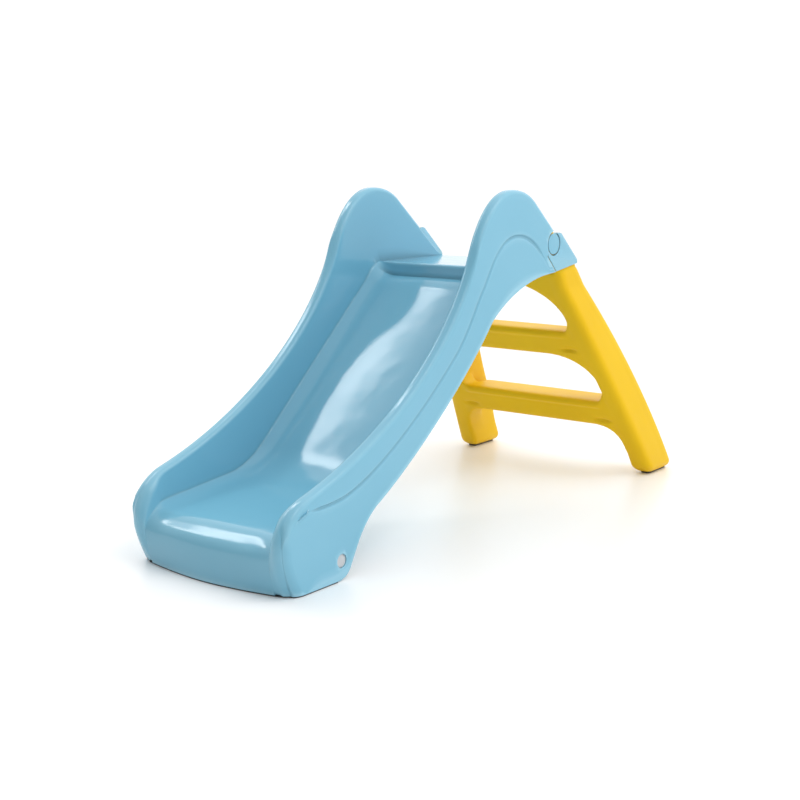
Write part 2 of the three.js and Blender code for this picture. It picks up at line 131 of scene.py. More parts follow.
def cut(obj, tool, how="DIFFERENCE", keep=False):
    step = obj.modifiers.new(how.lower(), "BOOLEAN")
    step.operation = how
    step.solver = "EXACT"
    step.object = tool
    applied(obj)
    if not keep:
        bpy.data.objects.remove(tool)
    return obj


def smoothShaded(obj, angle=32):
    obj.data.shade_smooth()
    obj.data.set_sharp_from_angle(angle=math.radians(angle))


def extrudedRow(bm, edges, row):
    # the edges grow by one row of vertices, given back in the order of the old row
    grown = bmesh.ops.extrude_edge_only(bm, edges=edges)["geom"]
    made = {v for v in grown if isinstance(v, bmesh.types.BMVert)}
    newRow = [next(e.other_vert(v) for e in v.link_edges if e.other_vert(v) in made) for v in row]
    return [e for e in grown if isinstance(e, bmesh.types.BMEdge)], newRow


def onlyVerts(geom):
    return [v for v in geom if isinstance(v, bmesh.types.BMVert)]


def mirrorAcross(bm, merge):
    bmesh.ops.mirror(bm, geom=bm.verts[:] + bm.edges[:] + bm.faces[:], axis="Y", merge_dist=merge)


def prism(name, outline, axis, low, high):
    # outline is drawn on the plane across the axis; X takes (y, z), Y takes (x, z), Z takes (x, y)
    bm = bmesh.new()
    place = {"X": lambda p: (low, p[0], p[1]), "Y": lambda p: (p[0], low, p[1]), "Z": lambda p: (p[0], p[1], low)}
    step = {"X": (high - low, 0, 0), "Y": (0, high - low, 0), "Z": (0, 0, high - low)}
    face = bm.faces.new([bm.verts.new(place[axis](p)) for p in outline])
    grown = bmesh.ops.extrude_face_region(bm, geom=[face])
    bmesh.ops.translate(bm, vec=step[axis], verts=onlyVerts(grown["geom"]))
    bmesh.ops.recalc_face_normals(bm, faces=bm.faces)
    return meshObject(name, bm)


# chute
chute = {
    "half": 188, "wall": 26, "rimRound": 9.5, "floorHalf": 118, "shell": 3.2,
    "cornerRadius": 32, "panelStep": 0.8, "grooveHalf": 5.4, "grooveDeep": 3.4,
}

stationCounts = (9, 16, 18, 12, 40, 9, 4, 3, 26, 7)

rimLine = drawn(
    (-640, 2.5), [(-643, 26), (-646, 52), (-646, 78)],
    [(-646, 122), (-617, 151), (-577, 165)],
    [(-384, 217), (-156, 358), (-80, 543)],
    [(-61, 595), (-15, 661), (50, 661)],
    [(82, 661), (109, 655), (134, 635)],
    [(288, 511.5)], [(292, 508.2)], [(292, 492)])
rim = spread(rimLine, ((-640, 2.5), (-646, 62), (-594, 158), (-436, 214), (-345, 262), (-66, 578),
                       (-30, 632), (-8, 648), (6, 655), (288, 511.5), (292, 492)), stationCounts)

floorLine = drawn(
    (-640, 2.5), [(-641, 22), (-640.5, 42), (-638, 60)],
    [(-636.5, 70), (-633, 77), (-625, 82)], [(-612, 90.5)], [(-603, 95.5), (-598, 97.4), (-588, 98.3)],
    [(-404, 116)],
    [(-380, 118.5), (-336, 132), (-300, 164.8)],
    [(20, 455)], [(36, 470), (48, 476), (60.5, 476)], [(62, 476.6), (62, 477), (62, 479)], [(62, 499)],
    [(62, 502.5), (63.5, 504), (67, 504)], [(287, 504)], [(290.5, 504), (292, 502.5), (292, 499)], [(292, 492)])
floor = spread(floorLine, ((-640, 2.5), (-638, 60), (-588, 98.3), (-404, 116), (-300, 164.8), (20, 455),
                           (60.5, 476), (62, 499), (67, 504), (287, 504), (292, 492)), stationCounts)

creaseLine = drawn(
    (-640, 2.5), [(-642, 22), (-641.5, 42), (-640, 62)],
    [(-638, 76), (-633, 84), (-625, 90)], [(-612, 99)], [(-603, 104.5), (-598, 107.6), (-589, 108.8)],
    [(-405.5, 127)],
    [(-382, 129.5), (-345, 143), (-309.4, 175.2)],
    [(10.6, 465.4)], [(24, 480), (34, 496), (46, 498)], [(52, 501), (57, 503.2), (62, 503.9)], [(64, 504)],
    [(66, 504)], [(287, 504)], [(290.5, 504), (292, 502.5), (292, 499)], [(292, 492)])
crease = spread(creaseLine, ((-640, 2.5), (-640, 62), (-589, 108.8), (-405.5, 127), (-309.4, 175.2), (10.6, 465.4),
                             (46, 498), (64, 504), (66, 504), (287, 504), (292, 492)), stationCounts)

grooveLine = drawn(
    (-622, 2.5), [(-624, 40), (-624, 98), (-607, 126)],
    [(-599, 139), (-586, 142), (-565, 142)], [(-540, 142), (-515, 142), (-485, 147)],
    [(-395, 165), (-250, 262), (-145, 357)],
    [(-107, 393), (-83, 439), (-57, 472)],
    [(-38, 494), (-8, 569), (62, 569)],
    [(126, 569), (155, 529), (186, 497)], [(240, 499)], [(282, 500)], [(283, 493)])
groove = spread(grooveLine, ((-622, 2.5), (-622, 62), (-560, 142), (-436, 157), (-345, 207), (-57, 472),
                             (-28, 508), (-4, 543), (14, 556), (278, 500), (283, 493)), stationCounts)

skirtLine = drawn(
    (-600, 2.5), [(-500, 2.5)], [(-485, 2.5), (-473, 9), (-467, 20)], [(-450, 50)],
    [(-440, 70), (-420, 97), (-394, 114)],
    [(-290, 168), (-115, 300), (-26, 406)],
    [(15, 441), (95, 480), (183, 486)], [(223, 489)], [(276, 491.6)], [(279, 491.8)])
skirt = spread(skirtLine, ((-600, 2.5), (-570, 2.5), (-522, 2.5), (-456, 39), (-372, 127), (6, 431),
                           (24, 442), (40, 450), (54, 456), (276, 491.6), (279, 491.8)), stationCounts)


def cornered(x, y, z):
    # rounds the two front corners in plan and bows the front
    radius = (chute["cornerRadius"] - 7 * ramp(0, 0.078, z) - 7 * ramp(0.078, 0.12, z)) * mm
    front = -0.646
    u, v = x - front, chute["half"] * mm - y
    if u < radius and v < radius:
        du, dv = radius - u, radius - v
        reach = math.hypot(du, dv)
        if reach > 0:
            pull = max(du, dv) / reach
            x, y = front + radius - du * pull, chute["half"] * mm - radius + dv * pull
    near = ramp(-0.555, -0.63, x)
    low = max(0.0, 1 - z / 0.078)
    x += near * (abs(y) / 0.17) ** 1.7 * (0.003 + 0.021 * low ** 1.5)
    return Vector((x, y, z))


def inward(p, far):
    # plan direction away from the outline of the toe
    heart = Vector((max(p.x, -0.602), min(max(p.y, -0.144), 0.144), p.z))
    away = heart - p
    return away.normalized() * far if away.length > 1e-6 else Vector((far, 0, 0))


def chuteSection(i):
    # half a section at station i, from the middle of the floor over the wall to the skirt's lower edge
    half = chute["half"] * mm
    R, F, C, G, S = rim[i], floor[i], crease[i], groove[i], skirt[i]
    up = rimNormal[i]
    front = ramp(-0.575, -0.63, R.x)
    inner = half - (chute["wall"] + 11 * front) * mm
    wallHigh = max((R - C).dot(up), 0.0004)
    rowsOut = []
    flat = chute["floorHalf"] * mm
    # floor
    for k in range(7):
        rowsOut.append((F, flat * k / 6))
    # cove, an arc that meets the wall at a crease
    wide, high = inner - flat, 14 * mm
    bend = (wide * wide + high * high) / (2 * high)
    for k in range(1, 11):
        outward = wide * math.sin(k / 10 * math.pi / 2) ** 0.9
        lift = (bend - math.sqrt(max(bend * bend - outward * outward, 0))) / high
        rowsOut.append((F.lerp(C, min(lift, 1)), flat + outward))
    # inner face of the wall, up to where its top starts to round
    top = chute["rimRound"] * mm
    innerWide = top + 9 * mm * front
    innerDeep = min(top + 5 * mm * front, wallHigh * 0.88)
    start = R - up * innerDeep
    for k in range(1, 9):
        rowsOut.append((C.lerp(start, k / 8), inner))
    # rounded top
    for k in range(1, 8):
        angle = k / 7 * math.pi / 2
        rowsOut.append((R - up * innerDeep * (1 - math.sin(angle)), inner + innerWide * (1 - math.cos(angle))))
    flatStart = inner + innerWide
    fade = fades[i]
    downward = -grooveNormal[i]
    reach = chute["grooveHalf"] * mm * (0.5 + 0.5 * fade)
    above, below = G - downward * reach, G + downward * reach
    # at the toe the edge is square here, and the plan's corner rounds it
    corner = ramp(0.86, 0.985, -up.x)
    outerRound = top + 3 * mm * ramp(-0.56, -0.61, R.x)
    outerRound = min(outerRound + (2 * mm - outerRound) * corner, (above - R).length * 0.5)
    flatEnd = max(half - outerRound, flatStart + 1.2 * mm)
    for k in range(1, 6):
        rowsOut.append((R, flatStart + (flatEnd - flatStart) * k / 6))
    for k in range(0, 9):
        angle = k / 8 * math.pi / 2
        rowsOut.append((R - up * outerRound * (1 - math.cos(angle)), flatEnd + (half - flatEnd) * math.sin(angle)))
    # outer face: upper band, groove, lower panel
    edge = R - up * outerRound
    step, deep = chute["panelStep"] * mm * fade, chute["grooveDeep"] * mm * fade
    for k in range(1, 8):
        rowsOut.append((edge.lerp(above, k / 7), half))
    for where, share in ((-0.86, 0.05), (-0.72, 0.3), (-0.36, 0.94), (0, 1.0), (0.36, 0.96)):
        rowsOut.append((G + downward * reach * where, half - deep * share))
    for where, share in ((0.72, 0.32), (0.86, 0.05), (1.0, 0.0)):
        rowsOut.append((G + downward * reach * where, half - step - (deep - step) * share))
    for k in range(1, 9):
        rowsOut.append((below.lerp(S, k / 8), half - step * (1 - ramp(0.25, 1, k / 8))))
    return [cornered(p.x, y, p.y) for p, y in rowsOut]


rimNormal, grooveNormal = normals(rim), normals(groove)
grooveRun = lengths(groove)
grooveStart = min(range(len(groove)), key=lambda i: (groove[i] - point(-592, 143)).length)
grooveEnd = min(range(len(groove)), key=lambda i: (groove[i] - point(184, 499)).length)
fades = [ramp(grooveRun[grooveStart] + 0.010, grooveRun[grooveStart] + 0.05, r)
         * ramp(grooveRun[grooveEnd] + 0.004, grooveRun[grooveEnd] - 0.10, r) for r in grooveRun]


def buildChuteShell():
    bm = bmesh.new()
    sections = [chuteSection(i) for i in range(len(rim))]
    first = [bm.verts.new(p) for p in sections[0]]
    edges = [bm.edges.new(pair) for pair in zip(first, first[1:])]
    row = first
    for section in sections[1:]:
        # each station is the last one extruded and set on its section
        edges, row = extrudedRow(bm, edges, row)
        for v, p in zip(row, section):
            v.co = p
    toe = [e for e in bm.edges if e.is_boundary and max(v.co.z for v in e.verts) < 0.0026]
    ledge = bmesh.ops.extrude_edge_only(bm, edges=toe)
    for v in onlyVerts(ledge["geom"]):
        v.co += inward(v.co, 0.012)
    for pick, times in ((lambda p: p.x < -0.594 and 0.118 < p.y < 0.158 and 0.012 < p.z < 0.135, 14),
                        (lambda p: p.x < 0.05 and 0.150 < p.y < 0.1625, 2)):
        soft = [v for v in bm.verts if pick(v.co) and not v.is_boundary]
        for k in range(times):
            bmesh.ops.smooth_vert(bm, verts=soft, factor=0.5, use_axis_x=True, use_axis_y=True, use_axis_z=True)
    middle = [v for v in bm.verts if abs(v.co.y) < 1e-6]
    for v in middle:
        v.co.y = 0
    mirrorAcross(bm, 1e-6)
    bmesh.ops.remove_doubles(bm, verts=bm.verts, dist=2e-6)
    bmesh.ops.dissolve_degenerate(bm, edges=bm.edges, dist=1e-6)
    bmesh.ops.recalc_face_normals(bm, faces=bm.faces)
    deckFace = min(bm.faces, key=lambda f: (f.calc_center_median() - Vector((0.18, 0.02, 0.504))).length)
    if deckFace.normal.z < 0:
        bmesh.ops.reverse_faces(bm, faces=bm.faces)
    return meshObject("chuteShell", bm)


shellPiece = buildChuteShell()
wall = shellPiece.modifiers.new("wall", "SOLIDIFY")
wall.thickness = chute["shell"] * mm
wall.offset = -1
wall.use_even_offset = False
wall.use_quality_normals = True
applied(shellPiece)
print("chute shell", len(shellPiece.data.polygons))

hinge = {
    "x": 205, "z": 547, "socket": 26.6, "head": 21.9, "headFace": 187.1, "headThick": 1.8, "dome": 0.5,
    "shaft": 8, "shaftEnd": 163.4, "coverInner": 166.4,
}
toe = {"rodX": -490, "rodZ": 37, "hole": 12.7, "plug": 11.4, "plugFace": 185.6}


def across(outline, low, high, name):
    # the same prism on both sides
    right = prism(name, [p * mm if isinstance(p, Vector) else Vector((p[0] * mm, p[1] * mm)) for p in outline],
                  "Y", low * mm, high * mm)
    bm = bmesh.new()
    bm.from_mesh(right.data)
    mirrorAcross(bm, 0)
    bmesh.ops.recalc_face_normals(bm, faces=bm.faces)
    bm.to_mesh(right.data)
    bm.free()
    return right


def circle(x, z, radius, count=96, start=0.0, sweep=2 * math.pi):
    return [(x + radius * math.cos(start + sweep * i / count), z + radius * math.sin(start + sweep * i / count))
            for i in range(count + (sweep < 2 * math.pi))]


px, pz = hinge["x"], hinge["z"]
seamOutline = [(213.6, 470), (213.6, 487.4), (177.4, 523),
               (px + 24 * math.cos(3.84), pz + 24 * math.sin(3.84)), (px, pz),
               (px + 60 * math.cos(1.0), pz + 60 * math.sin(1.0)), (340, 597), (340, 470)]
cut(shellPiece, across(seamOutline, 165.9, 200, "seamTool"))
cut(shellPiece, across(circle(px, pz, hinge["socket"]), 165.95, 200.5, "socketTool"))
cut(shellPiece, across(circle(toe["rodX"], toe["rodZ"], toe["hole"], 64), 178, 200.2, "plugTool"))


def turnedPiece(name, profile, x, z, steps=72):
    # profile holds (radius, y); spun about the line along Y through (x, z)
    bm = bmesh.new()
    verts = [bm.verts.new(((x + r) * mm, y * mm, z * mm)) for r, y in profile]
    edges = [bm.edges.new(pair) for pair in zip(verts, verts[1:])]
    bmesh.ops.spin(bm, geom=verts + edges, cent=(x * mm, 0, z * mm), axis=(0, 1, 0), angle=2 * math.pi,
                   steps=steps, use_merge=True)
    bmesh.ops.remove_doubles(bm, verts=bm.verts, dist=1e-6)
    bmesh.ops.dissolve_degenerate(bm, edges=bm.edges, dist=1e-7)
    bmesh.ops.recalc_face_normals(bm, faces=bm.faces)
    return meshObject(name, bm)


def mirroredCopy(obj, name):
    bm = bmesh.new()
    bm.from_mesh(obj.data)
    bmesh.ops.scale(bm, vec=(1, -1, 1), verts=bm.verts)
    bmesh.ops.reverse_faces(bm, faces=bm.faces)
    made = meshObject(name, bm)
    made.data.materials.clear()
    return made


def arc(radius, face, depth, count, fromAngle, toAngle):
    return [(radius + depth * math.cos(fromAngle + (toAngle - fromAngle) * i / count),
             face + depth * math.sin(fromAngle + (toAngle - fromAngle) * i / count)) for i in range(count + 1)]


# hinge pins: the round caps in the sockets
h = hinge
capProfile = [(0, h["headFace"] + h["dome"])]
capProfile += [(r, h["headFace"] + h["dome"] * (1 - (r / 21) ** 2)) for r in (5, 10, 15, 19, 20.4)]
capProfile += arc(h["head"] - 1.2, h["headFace"] - 1.2, 1.2, 5, math.pi / 2, 0)
capProfile += [(h["head"], h["headFace"] - h["headThick"]), (h["shaft"], h["headFace"] - h["headThick"] - 0.2),
               (h["shaft"], h["shaftEnd"] + 1), (h["shaft"] - 1, h["shaftEnd"]), (0, h["shaftEnd"])]
pinLeft = turnedPiece("pinLeft", capProfile, px, pz)
pinRight = mirroredCopy(pinLeft, "pinRight")

# grey plugs in the toe
plugProfile = [(0, toe["plugFace"] + 0.5)]
plugProfile += [(r, toe["plugFace"] + 0.5 * (1 - (r / 10) ** 2)) for r in (3, 6, 8.5)]
plugProfile += arc(toe["plug"] - 1, toe["plugFace"] - 1, 1, 4, math.pi / 2, 0)
plugProfile += [(toe["plug"], 181.8), (14.5, 181.7), (14.5, 180.2), (6, 180), (6, 170), (5, 169), (0, 169)]
plugLeft = turnedPiece("plugLeft", plugProfile, toe["rodX"], toe["rodZ"], 48)
plugRight = mirroredCopy(plugLeft, "plugRight")
print("pins and plugs")


# the direction the sloping rear edge of the wall faces in the side view
rearFacing = Vector((0.6256, 0.780))


def hingeCover():
    # outer plate with a turned-in edge, deep along the rear
    ring = [(217, 489.2), (181.4, 524.2), (px + 24.5 * math.cos(3.86), pz + 24.5 * math.sin(3.86))]
    ring += circle(px, pz, 24.5, 56, 3.90, 2 * math.pi + 1.0 - 3.90)
    ring += [(220, 569.3), (226, 569.6), (233, 567.6)]
    ring += [(233 + (298.5 - 233) * i / 8, 567.6 + (511.5 - 567.6) * i / 8) for i in range(1, 9)]
    ring += [(300.6, 508.9), (301.8, 505.8), (301.6, 503), (299.4, 501)]
    bm = bmesh.new()
    outer = chute["half"] * mm
    verts = [bm.verts.new((x * mm, outer, z * mm)) for x, z in ring]
    bm.faces.new(verts)
    rearFrom = 3 + 57
    rim = [bm.edges.get((verts[i], verts[(i + 1) % len(verts)])) for i in range(len(verts))]
    turnedIn = extrudedRow(bm, rim, verts)[1]
    for v in turnedIn:
        v.co.y -= 0.0028
    deep = [bm.edges.get((turnedIn[i], turnedIn[i + 1])) for i in range(rearFrom - 1, len(verts) - 1)]
    grown = bmesh.ops.extrude_edge_only(bm, edges=deep)
    for v in onlyVerts(grown["geom"]):
        v.co.y = h["coverInner"] * mm
    # a narrow cheek turned forward beside the rear edge of the wall
    inner = [e for e in grown["geom"] if isinstance(e, bmesh.types.BMEdge)]
    grown = bmesh.ops.extrude_edge_only(bm, edges=inner)
    for v in onlyVerts(grown["geom"]):
        away = Vector((v.co.x, v.co.z)) - point(134, 635)
        step = rearFacing * max(away.dot(rearFacing) + 0.004, 0.0004)
        v.co -= Vector((step.x, 0, step.y))
    bmesh.ops.recalc_face_normals(bm, faces=bm.faces)
    plate = max(bm.faces, key=lambda f: f.calc_area())
    if plate.normal.y < 0:
        bmesh.ops.reverse_faces(bm, faces=bm.faces)
    rimEdges = [bm.edges.get((verts[i], verts[(i + 1) % len(verts)])) for i in range(len(verts))]
    rear = [e for i, e in enumerate(rimEdges) if rearFrom - 1 <= i < len(verts) - 1]
    bmesh.ops.bevel(bm, geom=[e for e in rimEdges if e not in rear], offset=0.0008, offset_type="OFFSET",
                    segments=3, profile=0.5, affect="EDGES", material=-1, clamp_overlap=True)
    made = meshObject("coverLeft", bm)
    rounding = made.modifiers.new("rounding", "BEVEL")
    rounding.width = 0.003
    rounding.segments = 4
    rounding.limit_method = "ANGLE"
    rounding.angle_limit = math.radians(60)
    wall = made.modifiers.new("wall", "SOLIDIFY")
    wall.thickness = 0.0024
    wall.offset = -1
    applied(made)
    return made


coverLeft = hingeCover()
coverRight = mirroredCopy(coverLeft, "coverRight")
print("hinge covers")


def toeStrip():
    # soft strip under the toe, from the middle of the front round the corner to the rear of the toe; near black, it
    # also paints the contact shadow along the bottom edge
    path = [cornered(-0.640, 0.188 * k / 40, 0.0025) for k in range(40)]
    path += [cornered(-0.640 + 0.140 * (k / 40), 0.188, 0.0025) for k in range(1, 41)]
    bm = bmesh.new()
    verts = []
    for p in path:
        q = p + inward(p, 0.0012)
        verts.append(bm.verts.new((q.x, max(q.y, 0) if p.y > 1e-6 else 0, 0.0022)))
    edges = [bm.edges.new(pair) for pair in zip(verts, verts[1:])]
    grown = bmesh.ops.extrude_edge_only(bm, edges=edges)
    for v in onlyVerts(grown["geom"]):
        onAxis = abs(v.co.y) < 1e-6
        v.co += inward(v.co, 0.0105)
        if onAxis:
            v.co.y = 0
    mirrorAcross(bm, 1e-6)
    bmesh.ops.remove_doubles(bm, verts=bm.verts, dist=2e-6)
    bmesh.ops.recalc_face_normals(bm, faces=bm.faces)
    if next(iter(bm.faces)).normal.z < 0:
        bmesh.ops.reverse_faces(bm, faces=bm.faces)
    made = meshObject("toeStrip", bm)
    thick = made.modifiers.new("thickness", "SOLIDIFY")
    thick.thickness = 0.0021
    thick.offset = -1
    return applied(made)


stripPiece = toeStrip()

# ladder
ladder = {
    "topX": 229, "topZ": 493, "footX": 531, "voxel": 2.8, "smooth": 9,
    "treads": (181, 349), "fronts": (165, 332), "bottoms": (118, 289), "gaps": (214, 194, 160),
    "web": 58,
}
lean = (ladder["footX"] - ladder["topX"]) / ladder["topZ"]
rearLine = drawn((312, 497), [(450, 340), (557, 180), (644.5, 3.3)])
outerLine = drawn((269, 3.3), [(250, 150), (203, 370), (184.4, 450)], [(184.4, 494)])
innerLine = drawn((218, 3.3), [(215, 60)], [(206, 118)], [(197, 190)], [(193, 220), (184, 262), (176, 289)],
                  [(164, 330)], [(161, 349)], [(160, 370), (158, 395), (154, 420)], [(149, 460)], [(149, 494)])


def ladderFront(z):
    return ladder["topX"] + (ladder["topZ"] - z) * lean


def alongLine(line, z):
    # first coordinate of the line where its second one is z, in millimetres
    z *= mm
    best = min(range(len(line) - 1), key=lambda i: 0 if (line[i].y - z) * (line[i + 1].y - z) <= 0 else
               min(abs(line[i].y - z), abs(line[i + 1].y - z)) + 1)
    a, b = line[best], line[best + 1]
    share = (z - a.y) / (b.y - a.y) if b.y != a.y else 0
    return (a.x + (b.x - a.x) * min(max(share, 0), 1)) / mm


def postRing(z, inset):
    # a rounded four-sided section at height z
    x0, x1 = ladderFront(z) + inset, alongLine(rearLine, z) - inset
    y0, y1 = alongLine(innerLine, z) + inset, alongLine(outerLine, z) - inset
    corners = ((x0, y1, 19, 0), (x0, y0, 9, 1), (x1, y0, 10, 2), (x1, y1, 15, 3))
    out = []
    for x, y, radius, turn in corners:
        radius = max(min(radius, (y1 - y0) / 2 - 0.5) - inset * 0.3, 2)
        cx = x + radius if x == x0 else x - radius
        cy = y - radius if y == y1 else y + radius
        for k in range(8):
            angle = math.pi / 2 + turn * math.pi / 2 + k / 7 * math.pi / 2
            out.append(Vector(((cx + radius * math.cos(angle)) * mm, (cy + radius * math.sin(angle)) * mm, z * mm)))
    return out


def ladderPost():
    bm = bmesh.new()
    levels = [(3.3, 15), (4.4, 10.5), (6.6, 7), (10, 3.6), (14, 1.4), (18.5, 0)]
    levels += [(18.5 + (484 - 18.5) * i / 60, 0) for i in range(1, 61)] + [(489, 0), (493, 0.6)]
    rings = [postRing(z, inset) for z, inset in levels]
    row = [bm.verts.new(p) for p in rings[0]]
    edges = [bm.edges.new((row[i], row[(i + 1) % len(row)])) for i in range(len(row))]
    bm.faces.new(row)
    for ring in rings[1:]:
        edges, row = extrudedRow(bm, edges, row)
        for v, p in zip(row, ring):
            v.co = p
    for v in row:
        # the top follows the lower edge of the cover
        v.co.x = min(v.co.x, 0.2955)
        v.co.z += 0.18 * max(v.co.x - 0.232, 0)
    bm.faces.new(row)
    mirrorAcross(bm, 0)
    bmesh.ops.recalc_face_normals(bm, faces=bm.faces)
    return meshObject("ladderPosts", bm)


def mm2(points):
    return [Vector((a * mm, b * mm)) for a, b in points]


def mirroredOutline(half):
    # half runs from the low middle round the right-hand side to the high middle, as (y, z)
    return half + [Vector((-p.x, p.y)) for p in reversed(half) if abs(p.x) > 1e-7]


low, middle, high = ladder["gaps"]
groundGap = mirroredOutline(drawn((0, -10), [(low + 2, -10)], [(low, 58)],
                                  [(low - 2, 100), (low - 24, 118), (low - 64, 118)], [(0, 118)]))
middleGap = mirroredOutline(drawn((0, 178), [(middle - 30, 178)], [(middle - 10, 178), (middle, 190), (middle, 212)],
                                  [(middle - 2, 262), (middle - 54, 289), (middle - 109, 289)], [(0, 289)]))
archGap = mirroredOutline(drawn((0, 345), [(high - 30, 345)], [(high - 10, 345), (high, 355), (high, 376)],
                                [(high - 10, 425), (85, 462), (0, 462)]))


def unique(outline):
    out = []
    for p in outline:
        if not out or (p - out[-1]).length > 1e-6:
            out.append(p)
    if (out[0] - out[-1]).length < 1e-6:
        out.pop()
    return out


def ladderWebs():
    front = [(ladderFront(z) + 1.5, z) for z in (484, 58)]
    back = [(ladderFront(z) + ladder["web"], z) for z in (58, 484)]
    slab = prism("ladderWebs", mm2(front + back), "Y", -0.24, 0.24)
    wedge = prism("wedge", mm2([(-216, 56), (216, 56), (172, 330), (160, 484), (-160, 484), (-172, 330)]), "X",
                  0.15, 0.7)
    cut(slab, wedge, "INTERSECT")
    for k, gap in enumerate((groundGap, middleGap, archGap)):
        cut(slab, prism("gap", unique(gap), "X", 0.1 - 0.001 * k, 0.75))
    return slab


def ladderBeam(level):
    front, bottom = ladder["fronts"][level], ladder["bottoms"][level]
    rear = alongLine(rearLine, ladder["treads"][level]) - 16
    outline = [(ladderFront(bottom) + 5, bottom), (ladderFront(bottom + 6) + 0.5, bottom + 6),
               (ladderFront(front - 6) + 0.5, front - 6), (ladderFront(front) + 8, front), (rear - 4, front),
               (rear + 4, front - 10), (rear + 10, bottom + 6), (rear + 6, bottom)]
    reach = (ladder["gaps"][level + 1] + 12) * mm
    return prism("ladderBeam", mm2(outline), "Y", -reach, reach)


def ladderTread(level):
    # the tread is a crowned pad set back behind the front edge of the beam, with round ends
    top = ladder["treads"][level]
    x0 = ladderFront(top) + 5
    x1 = alongLine(rearLine, top) - 17
    half, radius = ladder["gaps"][level + 1] - 3, 17
    corners = []
    for cx, cy, turn in ((x1 - radius, half - radius, 0), (x0 + radius, half - radius, 1),
                         (x0 + radius, radius - half, 2), (x1 - radius, radius - half, 3)):
        corners += [(cx + radius * math.cos((turn + k / 6) * math.pi / 2),
                     cy + radius * math.sin((turn + k / 6) * math.pi / 2)) for k in range(7)]
    made = prism("ladderTread", mm2(corners), "Z", (top - 17) * mm, top * mm)
    bm = bmesh.new()
    bm.from_mesh(made.data)
    rim = [e for e in bm.edges if all(v.co.z > (top - 1) * mm for v in e.verts)]
    bmesh.ops.bevel(bm, geom=rim, offset=0.008, offset_type="OFFSET", segments=4, profile=0.5, affect="EDGES",
                    material=-1, clamp_overlap=True)
    bm.to_mesh(made.data)
    bm.free()
    return made


def ladderEars():
    outline = circle(px, pz, 27, 24, 0.9, math.pi * 1.18)
    outline += [(ladderFront(470) + 6, 470), (290, 470), (296, 490)]
    made = across(outline, 168.2, 178.2, "ladderEars")
    cut(made, across(circle(px, pz, 8.6, 40), 160, 185, "earHole"))
    return made


def pocket(level, side):
    # shallow pocket near the end of a beam's face
    bm = bmesh.new()
    bmesh.ops.create_uvsphere(bm, u_segments=24, v_segments=16, radius=1)
    bmesh.ops.scale(bm, vec=(0.009, 0.026, 0.0065), verts=bm.verts)
    z = ladder["bottoms"][level] + 13
    bmesh.ops.translate(bm, verts=bm.verts, vec=((ladderFront(z) - 1.5) * mm,
                                                 side * (ladder["gaps"][level + 1] - 14) * mm, z * mm))
    return meshObject("pocket", bm)


def joined(name, parts):
    bm = bmesh.new()
    for part in parts:
        bm.from_mesh(part.data)
        bpy.data.objects.remove(part)
    return meshObject(name, bm)


ladderPiece = joined("ladderFrame", [ladderPost(), ladderWebs(), ladderBeam(0), ladderBeam(1), ladderTread(0),
                                     ladderTread(1)])
skin = ladderPiece.modifiers.new("skin", "REMESH")
skin.mode = "VOXEL"
skin.voxel_size = ladder["voxel"] * mm
applied(ladderPiece)
for level in (0, 1):
    for side in (-1, 1):
        cut(ladderPiece, pocket(level, side))
# room for the deck between the tops of the two posts
cut(ladderPiece, prism("deckRoom", mm2([(-165.5, 482), (165.5, 482), (165.5, 520), (-165.5, 520)]), "X", 0.15, 0.4))
earsPiece = ladderEars()
ladderPiece = joined("ladderFrame", [ladderPiece, earsPiece])
skin = ladderPiece.modifiers.new("skin", "REMESH")
skin.mode = "VOXEL"
skin.voxel_size = ladder["voxel"] * mm
applied(ladderPiece)
bm = bmesh.new()
bm.from_mesh(ladderPiece.data)
soft = [v for v in bm.verts if v.co.z < 0.497]
for k in range(ladder["smooth"]):
    bmesh.ops.smooth_vert(bm, verts=soft, factor=0.5, use_axis_x=True, use_axis_y=True, use_axis_z=True)
bm.to_mesh(ladderPiece.data)
bm.free()
ladderPiece.data.shade_smooth()
print("ladder", len(ladderPiece.data.polygons))


def footPad():
    # thin soft pad under a post; near black, its rim also paints the contact shadow under the foot
    bm = bmesh.new()
    row = [bm.verts.new((p.x, p.y, 0.0002)) for p in postRing(3.3, 15)]
    grown = bmesh.ops.extrude_face_region(bm, geom=[bm.faces.new(row)])
    bmesh.ops.translate(bm, vec=(0, 0, 0.0045), verts=onlyVerts(grown["geom"]))
    bmesh.ops.recalc_face_normals(bm, faces=bm.faces)
    return meshObject("footPadLeft", bm)


padLeft = footPad()
padRight = mirroredCopy(padLeft, "footPadRight")
print("foot pads")


